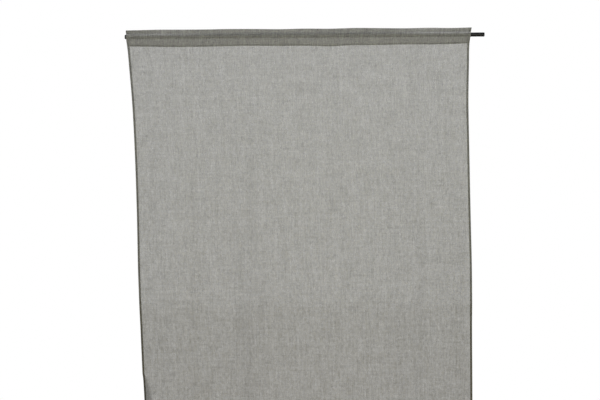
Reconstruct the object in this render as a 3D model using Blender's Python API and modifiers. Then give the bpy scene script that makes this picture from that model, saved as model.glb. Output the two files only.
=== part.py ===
"""A semi-sheer curtain panel hanging from a plain round rod by its rod pocket.

Metres, +Z up. The origin is on the rod's axis at the middle of its length. +X runs along the rod to
the right, and the front of the curtain faces -Y.
"""

import bisect
import collections
import math

import bmesh
import bpy

# Rod
ROD_DIAMETER = 0.017
ROD_LENGTH = 1.456
ROD_SIDES = 40
ROD_EDGE = 0.001

# Cloth
FINISHED_WIDTH = 1.40
CLOTH = 0.0011  # thickness of the single cloth
TURNED_CLOTH = 0.0020  # thickness where the cloth is turned on itself and sewn
ROD_CLEARANCE = 0.0004  # between the rod and the inside of the pocket
SIDE_HEM = 0.009
BOTTOM_HEM = 0.055
HEM_STEP = 0.002  # width over which a hem steps down to the single cloth

# Heading, as heights above the rod's axis or drops below it
HEADING_LEFT = -0.7238  # the heading's left end along the rod
HEADER_TOP = 0.0285
UPPER_SEAM = 0.0145
LOWER_SEAM = 0.0395
SEAM_TURN = 0.007  # height of the edge turned under at the lower seam
SEAM_FADE = 0.10  # drop below the seam over which its unevenness dies out
HEM_DROP = 2.372  # from the rod's axis to the bottom edge, for 2.40 m overall

# Folds
FOLD_DEPTH = 0.042  # of a fold marked 1, at the hem
FOLD_GROWTH = 0.62  # power by which the folds deepen on the way down
TURN_TOP = 1.360  # drop at which the left corner starts to turn back
TURN_LENGTH = 0.21  # drop over which the turned corner reaches its width
TURN_WIDTH = 0.050
TURN_SLOPE = 0.85  # how far back it goes for each metre across
TURN_SOFTNESS = 0.0025  # half-width of its rounded crease
TURN_START = 0.02  # drop over which it starts softly
CREASE_DROP = 1.09  # packing crease across the panel
CREASE_DEPTH = 0.004
CREASE_HEIGHT = 0.10

# Mesh
LEFT_COLUMNS = (0.020, 0.029, 0.038, 0.047, 0.056)  # closer columns for the turned corner, from the left edge
FIELD_COLUMNS = 44
ROWS_TO_CREASE = 12
ROW_SPREAD = 1.4  # power that sets these rows closer together near the heading
ROWS_TO_HEM = 14
ARC_STEPS = 4
HEADER_STEPS = 3

# The two side edges of the cloth at each drop below the rod's axis
Edge = collections.namedtuple("Edge", "drop left right")
EDGES = (
    Edge(-HEADER_TOP, HEADING_LEFT, HEADING_LEFT + FINISHED_WIDTH),
    Edge(0.020, -0.7210, 0.6690),
    Edge(0.060, -0.7165, 0.6660),
    Edge(0.110, -0.7125, 0.6650),
    Edge(0.270, -0.7000, 0.6615),
    Edge(0.475, -0.6905, 0.6635),
    Edge(0.720, -0.6840, 0.6665),
    Edge(0.960, -0.6805, 0.6700),
    Edge(1.200, -0.6720, 0.6685),
    Edge(1.465, -0.6630, 0.6678),
    Edge(HEM_DROP, -0.6480, 0.6620),
)

# How far the header's top edge and the lower seam lie above their even height, and how far the header
# leans forward at its top
Waver = collections.namedtuple("Waver", "across top seam lean")
WAVERS = (
    Waver(0.000, -0.0026, 0.0012, 0.0034),
    Waver(0.060, -0.0012, 0.0000, 0.0016),
    Waver(0.098, 0.0005, -0.0010, -0.0008),
    Waver(0.156, 0.0000, -0.0026, -0.0004),
    Waver(0.229, -0.0003, -0.0016, 0.0012),
    Waver(0.301, 0.0008, -0.0003, 0.0004),
    Waver(0.373, 0.0004, 0.0004, -0.0010),
    Waver(0.446, -0.0014, -0.0010, 0.0014),
    Waver(0.517, 0.0004, -0.0010, 0.0002),
    Waver(0.591, -0.0005, -0.0038, -0.0014),
    Waver(0.663, 0.0015, -0.0002, 0.0006),
    Waver(0.735, 0.0002, 0.0000, 0.0012),
    Waver(0.808, -0.0008, 0.0014, -0.0008),
    Waver(0.880, 0.0004, 0.0010, -0.0004),
    Waver(0.938, -0.0012, 0.0018, 0.0014),
    Waver(1.000, 0.0002, 0.0046, 0.0030),
)

# The crests and hollows of the folds across the panel: forward is 1 for a full crest
Fold = collections.namedtuple("Fold", "across forward")
FOLDS = (
    Fold(0.000, 0.15),
    Fold(0.078, 0.62),
    Fold(0.130, 0.45),
    Fold(0.220, -0.58),
    Fold(0.270, -0.70),
    Fold(0.300, -0.55),
    Fold(0.370, 0.30),
    Fold(0.420, 0.42),
    Fold(0.570, 0.30),
    Fold(0.700, 0.48),
    Fold(0.750, 0.38),
    Fold(0.850, -0.52),
    Fold(0.890, -0.62),
    Fold(0.925, -0.45),
    Fold(0.985, 0.32),
    Fold(1.000, 0.40),
)


def clear_scene():
    for thing in list(bpy.data.objects):
        bpy.data.objects.remove(thing, do_unlink=True)


def new_collection(name):
    collection = bpy.data.collections.new(name)
    bpy.context.scene.collection.children.link(collection)
    return collection


def move_to(collection, thing):
    for holder in list(thing.users_collection):
        holder.objects.unlink(thing)
    collection.objects.link(thing)


def principled(name, colour, roughness, metallic, alpha=1.0):
    material = bpy.data.materials.new(name)
    material.use_nodes = True
    shader = material.node_tree.nodes["Principled BSDF"]
    shader.inputs["Base Color"].default_value = (*colour, 1.0)
    shader.inputs["Roughness"].default_value = roughness
    shader.inputs["Metallic"].default_value = metallic
    shader.inputs["Alpha"].default_value = alpha
    return material


def sheer_cloth_material():
    return principled("grey_sheer_cloth", (0.163, 0.161, 0.150), 0.95, 0.0, alpha=0.76)


def black_rod_material():
    return principled("satin_black_metal", (0.012, 0.012, 0.013), 0.38, 0.0)


def smooth_value(rows, place, column, at):
    """The column's value at a place, on a smooth line through the table's rows."""
    places = [getattr(row, place) for row in rows]
    values = [getattr(row, column) for row in rows]
    at = min(max(at, places[0]), places[-1])
    after = min(max(bisect.bisect_right(places, at), 1), len(rows) - 1)
    before = after - 1

    def slope(index):
        low = max(index - 1, 0)
        high = min(index + 1, len(rows) - 1)
        return (values[high] - values[low]) / (places[high] - places[low])

    span = places[after] - places[before]
    t = (at - places[before]) / span
    start = values[before] * (2 * t**3 - 3 * t**2 + 1) + slope(before) * span * (t**3 - 2 * t**2 + t)
    end = values[after] * (3 * t**2 - 2 * t**3) + slope(after) * span * (t**3 - t**2)
    return start + end


def eased(value):
    """0 to 1 with soft ends."""
    value = min(max(value, 0.0), 1.0)
    return value * value * (3 - 2 * value)


def turned_back(across, drop):
    """How far the lower left corner stands back, past a rounded crease that moves inward on the way down."""
    fallen = drop - TURN_TOP
    crease_place = TURN_WIDTH * math.sqrt(min(max(fallen / TURN_LENGTH, 0.0), 1.0))
    past = (crease_place - across * FINISHED_WIDTH) / TURN_SOFTNESS
    rounded = max(past, 0.0) + math.log1p(math.exp(-abs(past)))
    return TURN_SLOPE * TURN_SOFTNESS * rounded * eased(fallen / TURN_START)


def fold_offset(across, drop):
    """How far the panel stands forward of its even plane."""
    fallen = max(drop - LOWER_SEAM, 0.0) / (HEM_DROP - LOWER_SEAM)
    folds = FOLD_DEPTH * fallen**FOLD_GROWTH * smooth_value(FOLDS, "across", "forward", across)
    crease = CREASE_DEPTH * eased(1 - abs(drop - CREASE_DROP) / CREASE_HEIGHT)
    return folds + crease - turned_back(across, drop)


def side_place(across, drop):
    left = smooth_value(EDGES, "drop", "left", drop)
    right = smooth_value(EDGES, "drop", "right", drop)
    return left + across * (right - left)


def thickness_at(across):
    """The cloth's thickness, more at the two side hems."""
    from_edge = min(across, 1 - across) * FINISHED_WIDTH
    return TURNED_CLOTH if from_edge < SIDE_HEM + HEM_STEP / 2 else CLOTH


def column_places():
    """Places across the cloth, from 0 at the left edge to 1 at the right one."""
    hem = [0.0, SIDE_HEM / FINISHED_WIDTH]
    inner = (SIDE_HEM + HEM_STEP) / FINISHED_WIDTH
    left = [inner] + [place / FINISHED_WIDTH for place in LEFT_COLUMNS]
    span = 1 - inner - left[-1]
    field = [left[-1] + span * i / FIELD_COLUMNS for i in range(1, FIELD_COLUMNS + 1)]
    return hem + left + field + [1 - place for place in reversed(hem)]


def header_path(across):
    """The header's places in the section (forward, up), from its top edge down to above the upper seam."""
    top = HEADER_TOP + smooth_value(WAVERS, "across", "top", across)
    lean = smooth_value(WAVERS, "across", "lean", across)
    shares = [i / HEADER_STEPS for i in range(HEADER_STEPS)]
    return [(lean * (1 - share) ** 2, top + (UPPER_SEAM - top) * share) for share in shares]


def pocket_path(across):
    """One side of the pocket in the section (away from the rod's plane, up), from seam to seam.

    Straight from the upper seam to where it touches the round of the rod, round it, and straight on
    to the lower seam.
    """
    radius = ROD_DIAMETER / 2 + ROD_CLEARANCE + thickness_at(across) / 2
    low = LOWER_SEAM - smooth_value(WAVERS, "across", "seam", across)
    first = math.asin(radius / UPPER_SEAM)
    last = -math.asin(radius / low)
    arc = []
    for step in range(ARC_STEPS + 1):
        angle = first + (last - first) * step / ARC_STEPS
        arc.append((radius * math.cos(angle), radius * math.sin(angle)))
    leave_out, leave_up = arc[-1]
    straight = leave_up + low
    turn_share = 1 - SEAM_TURN / straight
    turn = (leave_out * (1 - turn_share), leave_up - straight * turn_share)
    middle = ((leave_out + turn[0]) / 2, (leave_up + turn[1]) / 2)
    return [(0.0, UPPER_SEAM)] + arc + [middle, turn, (0.0, -low)]


def panel_drops():
    """Drops of the panel's rows below the lower seam, closer together near the heading."""
    hem_top = HEM_DROP - BOTTOM_HEM
    to_crease = CREASE_DROP - LOWER_SEAM
    to_hem = hem_top - HEM_STEP - CREASE_DROP
    upper_shares = [(i / ROWS_TO_CREASE) ** ROW_SPREAD for i in range(1, ROWS_TO_CREASE + 1)]
    lower_shares = [i / ROWS_TO_HEM for i in range(1, ROWS_TO_HEM + 1)]
    upper = [LOWER_SEAM + to_crease * share for share in upper_shares]
    lower = [CREASE_DROP + to_hem * share for share in lower_shares]
    return upper + lower + [hem_top, HEM_DROP]


def grid_sheet(columns, rows, place, thickness):
    """A sheet from a grid: place and thickness give each point's position and thickness by column and row."""
    sheet = bmesh.new()
    bmesh.ops.create_grid(sheet, x_segments=columns - 1, y_segments=rows - 1, size=0.5)
    layer = sheet.verts.layers.deform.verify()
    for vert in sheet.verts:
        column = round((vert.co.x + 0.5) * (columns - 1))
        row = round((0.5 - vert.co.y) * (rows - 1))
        vert[layer][0] = thickness(column, row) / TURNED_CLOTH
        vert.co = place(column, row)
    return sheet


def front_sheet(across_places):
    """The header, the front of the pocket and the panel down to the bottom hem."""
    drops = panel_drops()
    first_pocket_row = HEADER_STEPS
    first_panel_row = first_pocket_row + len(pocket_path(0.5))
    rows = first_panel_row + len(drops)
    first_hem_row = rows - 2

    def place(column, row):
        across = across_places[column]
        if row < first_pocket_row:
            forward, up = header_path(across)[row]
        elif row < first_panel_row:
            forward, up = pocket_path(across)[row - first_pocket_row]
        else:
            drop = drops[row - first_panel_row]
            seam_rise = smooth_value(WAVERS, "across", "seam", across)
            up = seam_rise * (1 - eased((drop - LOWER_SEAM) / SEAM_FADE)) - drop
            forward = fold_offset(across, drop)
        return (side_place(across, -up), -forward, up)

    def thickness(column, row):
        doubled = row < first_pocket_row or row >= first_hem_row
        return TURNED_CLOTH if doubled else thickness_at(across_places[column])

    return grid_sheet(len(across_places), rows, place, thickness)


def back_sheet(across_places):
    """The back of the pocket, from the upper seam to the edge turned under at the lower seam."""
    rows = len(pocket_path(0.5))
    first_turn_row = rows - 2

    def place(column, row):
        across = across_places[column]
        behind, up = pocket_path(across)[row]
        return (side_place(across, -up), behind, up)

    def thickness(column, row):
        return TURNED_CLOTH if row >= first_turn_row else thickness_at(across_places[column])

    return grid_sheet(len(across_places), rows, place, thickness)


def build_curtain(collection):
    """The front and back sheets share their points along both seams, and Solidify gives them thickness."""
    across_places = column_places()
    mesh = bpy.data.meshes.new("curtain_panel")
    cloth = bmesh.new()
    for sheet in (front_sheet(across_places), back_sheet(across_places)):
        part = bpy.data.meshes.new("sheet")
        sheet.to_mesh(part)
        sheet.free()
        cloth.from_mesh(part)
        bpy.data.meshes.remove(part)
    bmesh.ops.remove_doubles(cloth, verts=cloth.verts, dist=0.00001)
    cloth.to_mesh(mesh)
    cloth.free()
    mesh.materials.append(sheer_cloth_material())

    curtain = bpy.data.objects.new("curtain_panel", mesh)
    collection.objects.link(curtain)
    curtain.vertex_groups.new(name="thickness")
    solidify = curtain.modifiers.new("Cloth thickness", "SOLIDIFY")
    solidify.solidify_mode = "NON_MANIFOLD"
    solidify.nonmanifold_thickness_mode = "FIXED"
    solidify.thickness = TURNED_CLOTH
    solidify.offset = 0.0
    solidify.vertex_group = "thickness"
    mesh.shade_smooth()
    return curtain


def build_rod(collection):
    """A plain round bar with slightly eased ends, lying along X."""
    bpy.ops.mesh.primitive_cylinder_add(
        vertices=ROD_SIDES,
        radius=ROD_DIAMETER / 2,
        depth=ROD_LENGTH,
        rotation=(0.0, math.pi / 2, 0.0),
    )
    rod = bpy.context.object
    rod.name = "rod"
    rod.data.name = "rod"
    rod.data.materials.append(black_rod_material())
    bevel = rod.modifiers.new("Eased ends", "BEVEL")
    bevel.width = ROD_EDGE
    bevel.segments = 2
    bevel.limit_method = "ANGLE"
    rod.data.shade_smooth()
    rod.data.set_sharp_from_angle(angle=math.radians(40))
    move_to(collection, rod)
    return rod


clear_scene()
parts = new_collection("curtain_on_rod")
build_rod(parts)
build_curtain(parts)
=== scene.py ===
import math

import bpy
import numpy as np
from mathutils import Matrix, Vector


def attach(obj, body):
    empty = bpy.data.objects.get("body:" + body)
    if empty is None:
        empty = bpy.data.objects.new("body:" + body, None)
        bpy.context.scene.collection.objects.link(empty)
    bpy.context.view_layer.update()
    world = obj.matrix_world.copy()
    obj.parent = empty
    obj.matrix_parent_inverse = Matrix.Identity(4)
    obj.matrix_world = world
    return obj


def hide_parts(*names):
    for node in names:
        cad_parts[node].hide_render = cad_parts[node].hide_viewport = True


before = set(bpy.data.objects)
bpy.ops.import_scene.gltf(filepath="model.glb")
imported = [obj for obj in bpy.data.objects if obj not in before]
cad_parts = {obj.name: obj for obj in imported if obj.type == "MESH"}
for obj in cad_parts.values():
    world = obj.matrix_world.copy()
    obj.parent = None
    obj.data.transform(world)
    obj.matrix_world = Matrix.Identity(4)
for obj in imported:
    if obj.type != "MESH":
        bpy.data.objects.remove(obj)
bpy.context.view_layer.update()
print("frame loaded:", sorted(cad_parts))

# Camera: the photograph's plane is 2.43 m wide at the cloth, seen square on and rolled a little

view = {
    "aim": (-0.0234, 0.0, -0.6651),
    "distance": 5.0,
    "lens": 74.07,
    "sensor": 36.0,
    "roll": -0.409,  # degrees, so the rod rises to the right
}


def addCamera():
    camera = bpy.data.objects.new("camera", bpy.data.cameras.new("camera"))
    bpy.context.scene.collection.objects.link(camera)
    camera.data.lens = view["lens"]
    camera.data.sensor_width = view["sensor"]
    aimX, aimY, aimZ = view["aim"]
    place = Matrix.Translation((aimX, aimY - view["distance"], aimZ))
    turn = Matrix.Rotation(math.radians(90), 4, "X") @ Matrix.Rotation(math.radians(view["roll"]), 4, "Z")
    camera.matrix_world = place @ turn
    bpy.context.scene.camera = camera


addCamera()

# Shader maths


class Wire:
    def __init__(self, tree, socket=None):
        self.tree = tree
        self.socket = socket

    def node(self, kind, settings=None, inputs=None, output=0):
        made = self.tree.nodes.new(kind)
        for name, value in (settings or {}).items():
            setattr(made, name, value)
        for key, value in (inputs or {}).items():
            if isinstance(value, Wire):
                self.tree.links.new(value.socket, made.inputs[key])
            else:
                made.inputs[key].default_value = value
        return Wire(self.tree, made.outputs[output])

    def maths(self, operation, *values):
        return self.node("ShaderNodeMath", {"operation": operation}, dict(enumerate(values)))

    def __add__(self, other):
        return self.maths("ADD", self, other)

    def __radd__(self, other):
        return self.maths("ADD", other, self)

    def __sub__(self, other):
        return self.maths("SUBTRACT", self, other)

    def __rsub__(self, other):
        return self.maths("SUBTRACT", other, self)

    def __mul__(self, other):
        return self.maths("MULTIPLY", self, other)

    def __truediv__(self, other):
        return self.maths("DIVIDE", self, other)

    def __rpow__(self, other):
        return self.maths("POWER", other, self)

    def output(self, number):
        return Wire(self.tree, self.socket.node.outputs[number])

    def step(self, low, high):
        settings = {"interpolation_type": "SMOOTHSTEP"}
        return self.node("ShaderNodeMapRange", settings, {0: self, 1: low, 2: high})

    def flatNoise(self):
        settings = {"noise_dimensions": "2D"}
        inputs = {"Vector": self, "Scale": 1.0, "Detail": 1.0, "Roughness": 0.5}
        return self.node("ShaderNodeTexNoise", settings, inputs)

    def fineNoise(self, scale):
        return self.node("ShaderNodeTexNoise", None, {"Vector": self, "Scale": scale, "Detail": 2.0})

    def vector(self, *values):
        return self.node("ShaderNodeCombineXYZ", None, dict(enumerate(values)))

    def stretched(self, amounts):
        return self.node("ShaderNodeVectorMath", {"operation": "MULTIPLY"}, {0: self, 1: amounts})

    def stored(self, name):
        return self.node("ShaderNodeAttribute", {"attribute_name": name}, None, 2)

    def bump(self, strength, distance):
        inputs = {"Strength": strength, "Distance": distance, "Height": self}
        return self.node("ShaderNodeBump", None, inputs)

    def blendColours(self, first, second):
        settings = {"data_type": "RGBA"}
        return self.node("ShaderNodeMix", settings, {0: self, 6: first, 7: second}, 2)


def newMaterial(name):
    material = bpy.data.materials.new(name)
    material.use_nodes = True
    shader = material.node_tree.nodes["Principled BSDF"]
    return material, shader, Wire(material.node_tree)


def feed(shader, name, wire):
    wire.tree.links.new(wire.socket, shader.inputs[name])


# Cloth finish: an uneven slub weave, see-through between its yarns

cloth = {
    "darkFibre": (0.054, 0.054, 0.049, 1.0),
    "lightFibre": (0.276, 0.275, 0.251, 1.0),
    "seeThrough": 0.243,  # share of light that one flat layer lets past
    "yarn": 0.0009,
    # thick and thin stretches of single yarns: length along the warp or weft, how much they matter
    "warpStretches": ((0.018, 0.76), (0.070, 0.57)),
    "weftStretches": ((0.018, 0.42), (0.070, 0.36)),
    # fuller and thinner streaks of many yarns: length, width, how much they matter
    "warpStreaks": ((0.060, 0.006, 0.26), (0.300, 0.010, 0.22)),
    "weftStreaks": ((0.300, 0.010, 0.19),),
    # cloudy patches: size, how much they matter
    "patches": ((0.012, 0.46), (0.050, 0.23)),
    "ridges": 0.12,
    # paler and darker stretches of single yarns: length, how much they matter
    "warpTones": ((0.014, 1.00), (0.070, 0.80)),
    "weftTones": ((0.014, 0.60), (0.070, 0.45)),
    # where each pattern lies in the noise, and how far apart its layers and its yarns are there
    "starts": {"warp": 5.1, "weft": 105.1, "warpTones": 205.1, "weftTones": 305.1, "patches": 81},
    "layerGap": 10,
    "yarnGap": 3.71,
    "backedPaintedLight": 1.10,  # painted light: cloth that lies on a second layer gets a lighter base colour, standing for the light that layer sends back
    "roughness": 0.92,
    "roughnessSpread": 0.08,
    "ridgeHeight": 0.6,
    "bumpStrength": 0.35,
    "bumpDistance": 0.0003,
}


def yarnRidges(across):
    yarns = across / cloth["yarn"]
    offCentre = yarns.maths("FRACT", yarns) - 0.5
    return 0.5 - offCentre.maths("ABSOLUTE", offCentre) * 2


def yarnUneven(root, along, across, stretches, streaks, start):
    yarns = across / cloth["yarn"]
    order = yarns.maths("FLOOR", yarns) * cloth["yarnGap"]
    total = 0
    for length, amount in stretches:
        start += cloth["layerGap"]
        total = total + (root.vector(along / length, order + start).flatNoise() - 0.5) * amount
    for length, width, amount in streaks:
        start += cloth["layerGap"]
        place = root.vector(along / length, across / width + start)
        total = total + (place.flatNoise() - 0.5) * amount
    return total


def sheerClothMaterial():
    material, shader, root = newMaterial("greySheerCloth")
    weave = root.node("ShaderNodeUVMap", {"uv_map": "weave"})
    u = root.node("ShaderNodeSeparateXYZ", None, {0: weave})
    v = u.output(1)
    starts = cloth["starts"]
    warp = yarnUneven(root, v, u, cloth["warpStretches"], cloth["warpStreaks"], starts["warp"])
    weft = yarnUneven(root, u, v, cloth["weftStretches"], cloth["weftStreaks"], starts["weft"])
    ridges = yarnRidges(u) + yarnRidges(v)
    thick = warp + weft + ridges * cloth["ridges"]
    for size, amount in cloth["patches"]:
        place = root.vector(u / size, v / size + starts["patches"])
        thick = thick + (place.flatNoise() - 0.5) * amount
    cover = 1 - cloth["seeThrough"] ** root.stored("slant") * (1 - thick)
    feed(shader, "Alpha", cover)
    tone = 0.5 + yarnUneven(root, v, u, cloth["warpTones"], (), starts["warpTones"])
    tone = tone + yarnUneven(root, u, v, cloth["weftTones"], (), starts["weftTones"])
    colour = tone.blendColours(cloth["darkFibre"], cloth["lightFibre"])
    # painted light: a lighter base colour where a second layer lies behind, for the light it sends back
    paintedLightGain = 1 + root.stored("backed") * (cloth["backedPaintedLight"] - 1)
    feed(shader, "Base Color", colour.stretched(root.vector(paintedLightGain, paintedLightGain, paintedLightGain)))
    feed(shader, "Roughness", cloth["roughness"] + weft * cloth["roughnessSpread"])
    height = ridges * cloth["ridgeHeight"] + thick
    feed(shader, "Normal", height.bump(cloth["bumpStrength"], cloth["bumpDistance"]))
    return material


# Curtain: one length of cloth, with its rod pocket, header and hems turned from it

panel = {
    "width": 1.40,
    "headerTop": 0.0285,
    "upperSeam": 0.0145,
    "lowerSeam": 0.0395,
    "seamTurn": 0.007,
    "seamFade": 0.10,
    "hemDrop": 2.372,
    "sideHem": 0.009,
    "sideHemFade": 0.0025,
    "bottomHem": 0.055,
    "bottomTurn": 0.010,
    "layer": 0.0003,  # from one turned layer to the next
    "rodRadius": 0.0085,
    "rodClearance": 0.0004,
    "pocketFade": 0.04,  # drop over which the pocket's front layer comes back to the panel's face
    "headerPuff": 0.0016,
    "sagPuff": 0.6,  # more puff where the upper seam sags, as a share of the sag
    "foldDepth": 0.042,
    "foldGrowth": 0.62,
    "curlTop": 1.360,
    "curlStart": 0.02,
    "curlLength": 0.21,  # drop over which the turned corner reaches its width
    "curlWidth": 0.050,
    "curlSlope": 0.85,  # how steeply the turned corner goes back
    "curlSoft": 0.0025,
    "creaseDrop": 1.09,
    "creaseDepth": 0.004,
    "creaseHeight": 0.10,
    # a finer crease, pressed in over the left part only
    "pinchDrop": 1.076,
    "pinchDepth": 0.0012,
    "pinchHeight": 0.014,
    "pinchEnd": 0.45,
    "pinchFade": 0.2,
    "columnStep": 0.0060,
    "rowStep": 0.0106,
    "stitchInset": 0.0015,
    # rows of the cloth: shares of a stretch, angles round a turn, distances from a seam or hem
    "seamTurnShares": (1.0, 0.6, 0.25, 0.0),
    "seamTurnAngles": (45, 90, 135),
    "abovePocketShares": (0, 0.33, 0.67),
    "rodRows": 11,
    "belowPocketShares": (0.2, 0.4, 0.6, 0.72, 0.84, 0.93, 1.0),
    "headerShares": (0.25, 0.5, 0.75, 1.0),
    "headerAngles": (150, 120, 90, 60, 30),
    "underSeamRows": (0.002, 0.005),
    "pinchRows": 8,
    "hemFrontRows": (0.0016, 0.010),
    "hemFaceRows": 4,
    "hemFaceEnds": (0.020, 0.002),
    "hemTurnAngles": (0, 45, 90, 135, 180),
    "hemBackRows": (-0.004, -0.018, -0.032),
    "hemInsideRows": (0.0006, 0.005),
    # columns of a side hem: places from the edge
    "hemColumns": (0.0003, 0.0012, 0.0045),
    "besideHemColumns": (0.0013, 0.0030),
    "slantLimit": 0.35,  # least share of the cloth's face that still turns to the front
    # drop below the rod's axis, left edge, right edge
    "edges": (
        (-0.0285, -0.7238, 0.6762),
        (0.020, -0.7210, 0.6690),
        (0.060, -0.7165, 0.6660),
        (0.110, -0.7125, 0.6650),
        (0.270, -0.7000, 0.6615),
        (0.475, -0.6905, 0.6635),
        (0.720, -0.6840, 0.6665),
        (0.960, -0.6805, 0.6700),
        (1.200, -0.6720, 0.6685),
        (1.465, -0.6630, 0.6678),
        (2.372, -0.6480, 0.6620),
    ),
    # place across, rise of the header's top, rise of the lower seam, forward lean of the header, slack of
    # the pocket in front of the rod, sag of the upper seam
    "wavers": (
        (0.000, -0.0026, 0.0012, 0.0050, 0.0018, 0.0015),
        (0.060, -0.0012, 0.0000, 0.0044, 0.0014, 0.0012),
        (0.076, -0.0006, -0.0004, 0.0036, 0.0012, 0.0010),
        (0.098, 0.0005, -0.0010, 0.0002, 0.0008, 0.0008),
        (0.156, 0.0000, -0.0026, 0.0002, 0.0004, 0.0004),
        (0.229, -0.0003, -0.0016, 0.0018, 0.0000, 0.0000),
        (0.301, 0.0008, -0.0003, 0.0010, 0.0000, 0.0000),
        (0.373, 0.0004, 0.0004, -0.0004, 0.0002, 0.0000),
        (0.446, -0.0014, -0.0010, 0.0020, 0.0000, 0.0000),
        (0.517, 0.0004, -0.0010, 0.0008, 0.0000, 0.0000),
        (0.591, -0.0005, -0.0038, -0.0008, 0.0003, 0.0000),
        (0.663, 0.0015, -0.0002, 0.0010, 0.0002, 0.0000),
        (0.735, 0.0002, 0.0000, 0.0012, 0.0008, 0.0003),
        (0.808, -0.0008, 0.0014, -0.0008, 0.0010, 0.0006),
        (0.880, 0.0004, 0.0010, -0.0004, 0.0012, 0.0010),
        (0.938, -0.0012, 0.0018, 0.0014, 0.0018, 0.0014),
        (1.000, 0.0002, 0.0046, 0.0030, 0.0019, 0.0015),
    ),
    # place across, how far forward the fold stands there
    "folds": (
        (0.000, 0.15),
        (0.078, 0.62),
        (0.130, 0.45),
        (0.220, -0.58),
        (0.270, -0.70),
        (0.300, -0.55),
        (0.370, 0.30),
        (0.420, 0.42),
        (0.570, 0.30),
        (0.700, 0.48),
        (0.750, 0.38),
        (0.850, -0.52),
        (0.890, -0.62),
        (0.925, -0.45),
        (0.985, 0.32),
        (1.000, 0.40),
    ),
    # small ripples: depth, half waves across, drift of the wave down the cloth, start
    "ripples": (
        (0.0011, 17.0, 1.3, 0.4),
        (0.0008, 27.0, -1.9, 2.1),
        (0.0005, 41.0, 2.6, 4.4),
    ),
    "rippleGrowth": 6,
}


def smoothLine(table, column, at):
    rows = np.array(table)
    places, values = rows[:, 0], rows[:, column]
    at = np.clip(at, places[0], places[-1])
    low = np.clip(np.searchsorted(places, at, side="right"), 1, len(places) - 1) - 1
    before = np.maximum(np.arange(len(places)) - 1, 0)
    after = np.minimum(np.arange(len(places)) + 1, len(places) - 1)
    slopes = (values[after] - values[before]) / (places[after] - places[before])
    span = places[low + 1] - places[low]
    t = (at - places[low]) / span
    start = values[low] * (2 * t**3 - 3 * t**2 + 1) + slopes[low] * span * (t**3 - 2 * t**2 + t)
    end = values[low + 1] * (3 * t**2 - 2 * t**3) + slopes[low + 1] * span * (t**3 - t**2)
    return start + end


def eased(value):
    value = np.clip(value, 0, 1)
    return value * value * (3 - 2 * value)


def hemShare(across):
    fromEdge = np.minimum(across, 1 - across) * panel["width"]
    return 1 - eased((fromEdge - panel["sideHem"]) / panel["sideHemFade"])


def foldOffset(across, drop):
    fallen = np.maximum(drop - panel["lowerSeam"], 0) / (panel["hemDrop"] - panel["lowerSeam"])
    folds = panel["foldDepth"] * fallen ** panel["foldGrowth"] * smoothLine(panel["folds"], 1, across)
    underCurl = drop - panel["curlTop"]
    turned = panel["curlWidth"] * np.sqrt(np.clip(underCurl / panel["curlLength"], 0, 1))
    inside = (turned - across * panel["width"]) / panel["curlSoft"]
    curl = panel["curlSlope"] * panel["curlSoft"] * np.logaddexp(0, inside)
    curl = curl * eased(underCurl / panel["curlStart"])
    crease = panel["creaseDepth"] * eased(1 - np.abs(drop - panel["creaseDrop"]) / panel["creaseHeight"])
    pressed = eased(1 - np.abs(drop - panel["pinchDrop"]) / panel["pinchHeight"])
    pinch = panel["pinchDepth"] * pressed * eased((panel["pinchEnd"] - across) / panel["pinchFade"])
    ripple = 0
    for depth, waves, drift, start in panel["ripples"]:
        ripple = ripple + depth * np.sin(across * waves * np.pi + drift * drop + start)
    return folds + crease - pinch - curl + ripple * eased(fallen * panel["rippleGrowth"])


def sidePlace(across, drop):
    left = smoothLine(panel["edges"], 1, drop)
    right = smoothLine(panel["edges"], 2, drop)
    return left + across * (right - left)


def pocketSide(across, slack, seamUp, seamOut, lowUp, lowOut):
    # one side of the pocket, from the upper seam round the rod to the lower seam: outward, up
    thick = panel["layer"] * (0.5 + 2 * hemShare(across))
    radius = panel["rodRadius"] + panel["rodClearance"] + thick + slack
    first = np.arctan2(seamUp, seamOut) - np.arccos(radius / np.hypot(seamUp, seamOut))
    last = np.arctan2(lowUp, lowOut) + np.arccos(radius / np.hypot(lowUp, lowOut))
    rows = []
    for share in panel["abovePocketShares"]:
        outward = seamOut + (radius * np.cos(first) - seamOut) * share
        rows.append((outward, seamUp + (radius * np.sin(first) - seamUp) * share))
    for share in np.linspace(0, 1, panel["rodRows"]):
        angle = first + (last - first) * share
        rows.append((radius * np.cos(angle), radius * np.sin(angle)))
    outer, height = rows[-1]
    for share in panel["belowPocketShares"]:
        rows.append((outer + (lowOut - outer) * share, height + (lowUp - height) * share))
    return rows


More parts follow.
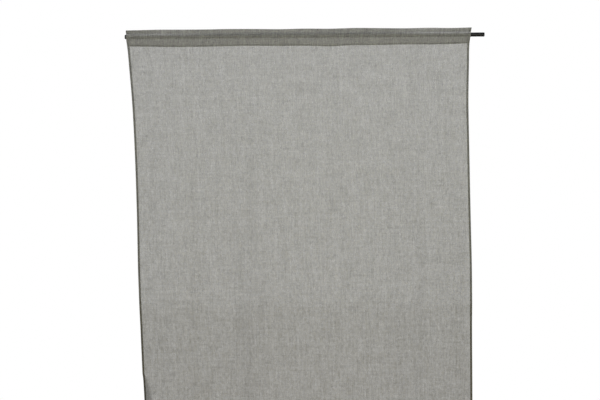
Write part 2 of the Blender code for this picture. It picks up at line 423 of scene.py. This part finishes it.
def clothGrid(across):
    # every row along the cloth, from the raw edge inside the pocket to the one inside the bottom hem
    # header and hems are thicker near the side hems, where more layers meet
    share, layer = hemShare(across), panel["layer"]
    top = panel["headerTop"] + smoothLine(panel["wavers"], 1, across)
    rise = smoothLine(panel["wavers"], 2, across)
    lean = smoothLine(panel["wavers"], 3, across)
    low = rise - panel["lowerSeam"]
    headerHalf = layer * (0.5 + 2 * share)
    hemDepth = layer * (1 + 3 * share)
    sag = smoothLine(panel["wavers"], 5, across)
    seam = panel["upperSeam"] - sag
    inner = layer * share
    section, marks = [], {}
    for part in panel["seamTurnShares"]:
        section.append((inner, low + panel["seamTurn"] * part))
    middle, radius = (inner - hemDepth) / 2, (inner + hemDepth) / 2
    for angle in panel["seamTurnAngles"]:
        turn = math.radians(angle)
        section.append((middle + radius * math.cos(turn), low - radius * math.sin(turn)))
    slack = smoothLine(panel["wavers"], 4, across)
    front = pocketSide(across, slack, seam, headerHalf, low, hemDepth)
    back = pocketSide(across, 0, seam, headerHalf, low, hemDepth)
    marks["lowBack"] = len(section) + 1
    section += [(-outward, up) for outward, up in reversed(back)]
    marks["seamBack"] = len(section) - 1
    header = []
    for part in panel["headerShares"]:
        puff = (panel["headerPuff"] + panel["sagPuff"] * sag) * math.sin(math.pi * part)
        header.append((headerHalf + puff, lean * part**2, seam + (top - headerHalf - seam) * part))
    section += [(bend - half, up) for half, bend, up in header]
    for angle in panel["headerAngles"]:
        turn = math.radians(angle)
        section.append((lean + headerHalf * math.cos(turn), top - headerHalf + headerHalf * math.sin(turn)))
    section += [(bend + half, up) for half, bend, up in reversed(header)]
    marks["seamFront"] = len(section)
    section += front
    marks["lowFront"] = len(section) - 2
    points = [np.stack([sidePlace(across, -up), -forward, up], -1) for forward, up in section]
    marks["panelStart"] = len(points)

    def face(drop):
        under = drop - panel["lowerSeam"]
        up = rise * (1 - eased(under / panel["seamFade"])) - drop
        forward = foldOffset(across, drop) + hemDepth * (1 - eased(under / panel["pocketFade"]))
        return np.stack([sidePlace(across, -up), -forward, up], -1)

    def faceNormal(drop):
        reach, sideReach = 0.002, 0.001
        down = face(drop + reach) - face(drop - reach)
        slope = foldOffset(across + sideReach, drop) - foldOffset(across - sideReach, drop)
        slope = slope / (2 * sideReach * panel["width"])
        right = np.stack([np.ones_like(across), -slope, np.zeros_like(across)], -1)
        normal = np.cross(down, right)
        return normal / np.linalg.norm(normal, axis=-1, keepdims=True)

    seamDrop, pinchDrop, pinchHeight = panel["lowerSeam"], panel["pinchDrop"], panel["pinchHeight"]
    bottom, hemTop = panel["hemDrop"], panel["hemDrop"] - panel["bottomHem"]
    count = round((hemTop - seamDrop) / panel["rowStep"])
    drops = [seamDrop + distance for distance in panel["underSeamRows"]]
    drops += list(np.linspace(seamDrop, hemTop, count + 1))[1:]
    drops += list(np.linspace(pinchDrop - pinchHeight, pinchDrop + pinchHeight, panel["pinchRows"]))
    hemDrops = [hemTop + distance for distance in panel["hemFrontRows"]]
    fromTop, fromBottom = panel["hemFaceEnds"]
    hemDrops += list(np.linspace(hemTop + fromTop, bottom - fromBottom, panel["hemFaceRows"]))
    for drop in sorted(drops + hemDrops):
        points.append(face(drop))
    marks["hemFront"] = len(points) - len(hemDrops)
    spread = hemDepth[:, None]
    edge = bottom - float(np.max(hemDepth))
    for angle in panel["hemTurnAngles"]:
        turn = math.radians(angle)
        base = face(edge + hemDepth * math.sin(turn))
        points.append(base - faceNormal(edge) * spread * (1 - math.cos(turn)))
    backDrops = [bottom + distance for distance in panel["hemBackRows"]]
    backDrops += [hemTop + distance for distance in reversed(panel["hemFrontRows"])]
    marks["hemBack"] = len(points) + len(backDrops) - 1
    insideDrops = [hemTop + distance for distance in panel["hemInsideRows"]]
    for drop in backDrops + insideDrops[:1]:
        points.append(face(drop) - faceNormal(drop) * spread * 2)
    points.append(face(hemTop) - faceNormal(hemTop) * spread * 1.5)
    for drop in insideDrops + [hemTop + panel["bottomTurn"]]:
        points.append(face(drop) - faceNormal(drop) * (spread - inner[:, None]))
    return np.array(points), marks


def clothColumns():
    # every column across the cloth: place from the edge, layers behind the face, place in the flat cloth
    hem, width = panel["sideHem"], panel["width"]
    stitch = hem - panel["stitchInset"]
    rim, inset, half = panel["hemColumns"]
    beside = [hem + distance for distance in panel["besideHemColumns"]]
    middle = [(x, 1.0, x - 2 * hem) for x in (inset, half, stitch, hem - rim)]
    behind = [(x, 2.0, -x) for x in (hem - rim, stitch, half, rim)]
    front = [(x, 0.0, x) for x in [rim, half, stitch, hem] + beside]
    side = middle + [(hem, 1.5, -hem)] + behind + [(0.0, 1.0, 0.0)] + front
    first, last = front[-1][0], width - front[-1][0]
    count = round((last - first) / panel["columnStep"])
    field = [(x, 0.0, x) for x in np.linspace(first, last, count + 1)[1:-1]]
    other = [(width - x, depth, width - flat) for x, depth, flat in reversed(side)]
    columns = np.array(side + field + other)
    fromEdge = np.minimum(columns[:, 0], width - columns[:, 0])
    sewn = np.abs(fromEdge - stitch) < 1e-6
    stitchFront = np.flatnonzero(sewn & (columns[:, 1] == 0))
    stitchBack = np.flatnonzero(sewn & (columns[:, 1] == 2))
    return columns, stitchFront, stitchBack


def buildCloth():
    columns, stitchFront, stitchBack = clothColumns()
    across = columns[:, 0] / panel["width"]
    grid, marks = clothGrid(across)
    reach = 0.0002
    wider = clothGrid(across + reach)[0] - clothGrid(across - reach)[0]
    normals = np.cross(wider, np.gradient(grid, axis=0))
    normals /= np.linalg.norm(normals, axis=-1, keepdims=True)
    half = len(across) // 2
    if normals[marks["hemFront"] - 1, half][1] > 0:
        normals = -normals
    placed = grid - normals * (columns[:, 1] * panel["layer"])[None, :, None]
    middle = grid[:, half]
    lengths = np.concatenate([[0], np.cumsum(np.linalg.norm(np.diff(middle, axis=0), axis=1))])
    rowCount, columnCount = placed.shape[:2]
    index = np.arange(rowCount * columnCount).reshape(rowCount, columnCount)
    faces = np.stack([index[:-1, :-1], index[1:, :-1], index[1:, 1:], index[:-1, 1:]], -1).reshape(-1, 4)
    mesh = bpy.data.meshes.new("curtainCloth")
    mesh.from_pydata(placed.reshape(-1, 3).tolist(), [], faces.tolist())
    weave = mesh.uv_layers.new(name="weave")
    flatTop = 3.0
    flat = np.broadcast_arrays(columns[None, :, 2], flatTop - lengths[:, None])
    flat = np.stack(flat, -1).reshape(-1, 2)
    weave.uv.foreach_set("vector", flat[faces.ravel()].astype(np.float32).ravel())
    rows = np.arange(rowCount)[:, None]
    # rows with a second layer behind them, which get painted light in the cloth's base colour
    double = (rows <= marks["panelStart"]) | (rows >= marks["hemFront"])
    steep = 1 / np.clip(np.abs(normals[..., 1]), panel["slantLimit"], 1)
    for name, values in (("backed", np.broadcast_to(double, steep.shape)), ("slant", steep)):
        stored = mesh.attributes.new(name, "FLOAT", "POINT")
        stored.data.foreach_set("value", values.astype(np.float32).ravel())
    mesh.shade_smooth()
    curtain = bpy.data.objects.new("curtainCloth", mesh)
    bpy.context.scene.collection.objects.link(curtain)
    mesh.materials.append(sheerClothMaterial())
    if mesh.polygons[faces.shape[0] // 2].normal.y > 0:
        mesh.flip_normals()
    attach(curtain, "root")
    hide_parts("curtain_panel")
    print("cloth:", len(faces) * 2, "triangles")
    return curtain, placed, normals, marks, columns, stitchFront, stitchBack


curtain, placed, normals, marks, columns, stitchFront, stitchBack = buildCloth()

# Sewing: one stitch, modelled once and set along every seam and hem, front and back

sewing = {
    "radius": 0.00016,
    "length": 0.0029,
    "pitch": 0.0035,
    "sides": 5,
    "proud": 0.00012,  # how far a stitch stands off the cloth
    "sink": 0.00022,  # how far its two ends dip
    "reach": 0.001,  # how far ahead the seam's direction is read
    "darkThread": (0.085, 0.083, 0.072, 1.0),
    "lightThread": (0.150, 0.147, 0.128, 1.0),
    "twistScale": 900.0,
    "twistWobble": 1.5,
    "roughness": 0.6,
    "roughnessSpread": 0.15,
}


def threadMaterial():
    material, shader, root = newMaterial("greySewingThread")
    place = root.node("ShaderNodeTexCoord", None, None, 3)
    inputs = {"Vector": place, "Scale": sewing["twistScale"], "Distortion": sewing["twistWobble"]}
    twist = root.node("ShaderNodeTexWave", None, inputs, 1)
    feed(shader, "Base Color", twist.blendColours(sewing["darkThread"], sewing["lightThread"]))
    feed(shader, "Roughness", sewing["roughness"] + twist * sewing["roughnessSpread"])
    return material


def modelStitch():
    bpy.ops.object.select_all(action="DESELECT")
    bpy.ops.mesh.primitive_cylinder_add(
        vertices=sewing["sides"],
        radius=sewing["radius"],
        depth=sewing["length"],
        end_fill_type="NOTHING",
        rotation=(0, math.pi / 2, 0),
    )
    stitch = bpy.context.object
    bpy.ops.object.transform_apply(location=False, rotation=True, scale=False)
    bpy.ops.object.mode_set(mode="EDIT")
    bpy.ops.mesh.select_all(action="SELECT")
    bpy.ops.mesh.bisect(plane_co=(0, 0, 0), plane_no=(1, 0, 0))
    bpy.ops.object.mode_set(mode="OBJECT")
    corners = np.array([v.co for v in stitch.data.vertices])
    corners[:, 2] -= sewing["sink"] * (np.abs(corners[:, 0]) / (sewing["length"] / 2)) ** 2
    faces = [list(face.vertices) for face in stitch.data.polygons]
    bpy.data.objects.remove(stitch)
    return corners, faces


def alongLine(points, faceWays):
    gaps = np.linalg.norm(np.diff(points, axis=0), axis=1)
    reach = np.concatenate([[0], np.cumsum(gaps)])
    stops = np.arange(sewing["pitch"], reach[-1] - sewing["pitch"], sewing["pitch"])
    further = stops + sewing["reach"]
    here = np.stack([np.interp(stops, reach, points[:, k]) for k in range(3)], -1)
    ahead = np.stack([np.interp(further, reach, points[:, k]) for k in range(3)], -1)
    up = np.stack([np.interp(stops, reach, faceWays[:, k]) for k in range(3)], -1)
    run = ahead - here
    run /= np.linalg.norm(run, axis=1, keepdims=True)
    up -= run * np.sum(run * up, axis=1, keepdims=True)
    up /= np.linalg.norm(up, axis=1, keepdims=True)
    return here + up * sewing["proud"], run, up


def buildSewing():
    corners, faces = modelStitch()
    face = [i for i in range(len(columns)) if columns[i][1] == 0]
    lines = []
    for row in ("seamFront", "seamBack", "lowFront", "lowBack", "hemFront", "hemBack"):
        lines.append((placed[marks[row], face], normals[marks[row], face]))
    body = slice(marks["lowFront"], marks["hemFront"] + panel["hemFaceRows"])
    for column in stitchFront:
        lines.append((placed[body, column], normals[body, column]))
    for column in stitchBack:
        lines.append((placed[body, column], -normals[body, column]))
    allCorners, allFaces = [], []
    for points, faceWays in lines:
        here, run, up = alongLine(points, faceWays)
        side = np.cross(up, run)
        frames = np.stack([run, side, up], 1)
        moved = np.einsum("ck,nkj->ncj", corners, frames) + here[:, None]
        first = sum(len(c) for c in allCorners)
        allCorners.append(moved.reshape(-1, 3))
        for k in range(len(here)):
            allFaces += [[first + k * len(corners) + i for i in f] for f in faces]
    mesh = bpy.data.meshes.new("curtainStitching")
    mesh.from_pydata(np.concatenate(allCorners).tolist(), [], allFaces)
    mesh.shade_smooth()
    mesh.materials.append(threadMaterial())
    stitching = bpy.data.objects.new("curtainStitching", mesh)
    bpy.context.scene.collection.objects.link(stitching)
    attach(stitching, "root")
    print("stitching:", len(allFaces) * 2, "triangles")
    return stitching


stitching = buildSewing()

# Rod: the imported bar, with a satin black coat

rodFinish = {
    "deep": (0.003, 0.003, 0.0035, 1.0),
    "worn": (0.009, 0.009, 0.010, 1.0),
    "drawnScale": (14.0, 900.0, 900.0),
    "grainScale": 1400.0,
    "lineShare": 0.7,
    "toneRange": (0.3, 0.8),
    "roughness": 0.28,
    "roughnessSpread": 0.12,
    "specular": 0.22,
    "bumpStrength": 0.15,
    "bumpDistance": 0.0001,
}


def finishRod():
    material, shader, root = newMaterial("satinBlackCoat")
    place = root.node("ShaderNodeTexCoord", None, None, 3)
    lines = place.stretched(rodFinish["drawnScale"]).fineNoise(1.0)
    grain = place.fineNoise(rodFinish["grainScale"])
    tone = lines * rodFinish["lineShare"] + grain * (1 - rodFinish["lineShare"])
    tone = tone.step(*rodFinish["toneRange"])
    feed(shader, "Base Color", tone.blendColours(rodFinish["deep"], rodFinish["worn"]))
    feed(shader, "Roughness", rodFinish["roughness"] + lines * rodFinish["roughnessSpread"])
    shader.inputs["Specular IOR Level"].default_value = rodFinish["specular"]
    feed(shader, "Normal", grain.bump(rodFinish["bumpStrength"], rodFinish["bumpDistance"]))
    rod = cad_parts["rod"]
    rod.data.materials.clear()
    rod.data.materials.append(material)
    print("rod finished")


finishRod()

# Studio: pale floor, white surroundings, and light from above, from the front and from behind

coolTint = (0.94, 0.94, 1.0)
studio = {
    "floorPlace": (0.0, -8.0, -2.382),
    "floorSize": 24.0,
    "floorColour": (0.82, 0.82, 0.81, 1.0),
    "floorRoughness": 0.85,
    "floorGlow": 0.72,
    "glowColour": (0.97, 0.97, 0.96, 1.0),
    "white": (1.0, 1.0, 1.0, 1.0),
    "ambient": 0.12,
    # flat lights: name, place, point that they face, width and height, power, tint
    # the two end lights are strips just over the pocket's ends
    "areas": (
        ("leftLight", (-0.75, -1.2, 0.25), (-0.64, 0.0, -0.30), (0.5, 0.5), 1.4, coolTint),
        ("leftEndLight", (-0.61, -0.017, 0.17), (-0.61, -0.011, 0.0), (0.24, 0.02), 0.25, coolTint),
        ("rightLight", (0.75, -1.2, 0.25), (0.64, 0.0, -0.30), (0.5, 0.5), 1.7, coolTint),
        ("rightEndLight", (0.57, -0.017, 0.17), (0.57, -0.011, 0.0), (0.24, 0.02), 0.36, coolTint),
        ("headLight", (0.0, -0.9, 0.35), (0.0, 0.0, 0.0), (2.4, 0.2), 2.6, coolTint),
        ("frontLight", (0.1, -1.5, -0.5), (0.0, 0.0, -0.5), (2.6, 0.8), 13.9, (1.0, 0.985, 0.66)),
        ("lowLight", (0.0, -1.3, -2.1), (0.0, 0.0, -1.7), (2.0, 0.4), 3.0, (1.0, 0.56, 0.0)),
        ("backLight", (0.4, 2.6, 0.2), (0.0, 0.0, -0.9), (2.0, 2.0), 70.0, coolTint),
    ),
    "upperPlace": (0.0, -3.2, 1.2),
    "upperPower": 152.5,
    "upperTint": (0.86, 0.88, 1.0),
    "upperSize": 0.02,
    "lightStep": 1.118,  # drop at which the upper light ends on the cloth
    "stepSoftness": 0.009,
}


def addLight(name, kind, place, facing, power, tint):
    light = bpy.data.lights.new(name, kind)
    light.energy = power
    light.color = tint
    lamp = bpy.data.objects.new(name, light)
    bpy.context.scene.collection.objects.link(lamp)
    lamp.location = place
    lamp.rotation_euler = facing.to_track_quat("-Z", "Y").to_euler()
    lamp.visible_camera = False
    return light


def addAreas():
    for name, place, aim, size, power, tint in studio["areas"]:
        light = addLight(name, "AREA", place, Vector(aim) - Vector(place), power, tint)
        light.shape = "RECTANGLE"
        light.size, light.size_y = size


def addUpperLight():
    # a half-round spot whose cut-off line lies across the cloth at the crease
    place = Vector(studio["upperPlace"])
    cut = (Vector((0.0, 0.0, -studio["lightStep"])) - place).normalized()
    facing = Vector((0.0, -cut.z, cut.y))
    light = addLight("upperLight", "SPOT", place, facing, studio["upperPower"], studio["upperTint"])
    light.spot_size = math.pi
    light.spot_blend = studio["stepSoftness"]
    light.shadow_soft_size = studio["upperSize"]


def addFloor():
    bpy.ops.object.select_all(action="DESELECT")
    bpy.ops.mesh.primitive_plane_add(size=1.0, location=studio["floorPlace"])
    floor = bpy.context.object
    floor.name = "floor"
    floor.scale = (studio["floorSize"], studio["floorSize"], 1.0)
    material, shader, root = newMaterial("paleFloor")
    shader.inputs["Base Color"].default_value = studio["floorColour"]
    shader.inputs["Roughness"].default_value = studio["floorRoughness"]
    glow = root.node("ShaderNodeEmission", None, {"Color": studio["glowColour"]})
    seen = root.node("ShaderNodeLightPath") * studio["floorGlow"]
    lit = Wire(root.tree, shader.outputs[0])
    pale = root.node("ShaderNodeMixShader", None, {0: seen, 1: lit, 2: glow})
    surface = root.tree.nodes["Material Output"].inputs["Surface"]
    root.tree.links.new(pale.socket, surface)
    floor.data.materials.append(material)


def addSurroundings():
    world = bpy.data.worlds.new("studio")
    bpy.context.scene.world = world
    world.use_nodes = True
    world.node_tree.nodes.clear()
    root = Wire(world.node_tree)
    white, ambient = studio["white"], studio["ambient"]
    seen = root.node("ShaderNodeBackground", None, {"Color": white, "Strength": 1.0})
    unseen = root.node("ShaderNodeBackground", None, {"Color": white, "Strength": ambient})
    path = root.node("ShaderNodeLightPath")
    mixed = root.node("ShaderNodeMixShader", None, {0: path, 1: unseen, 2: seen})
    worldOutput = root.tree.nodes.new("ShaderNodeOutputWorld")
    root.tree.links.new(mixed.socket, worldOutput.inputs["Surface"])
    bpy.context.scene.view_settings.view_transform = "Standard"


addFloor()
addAreas()
addUpperLight()
addSurroundings()
print("studio ready")
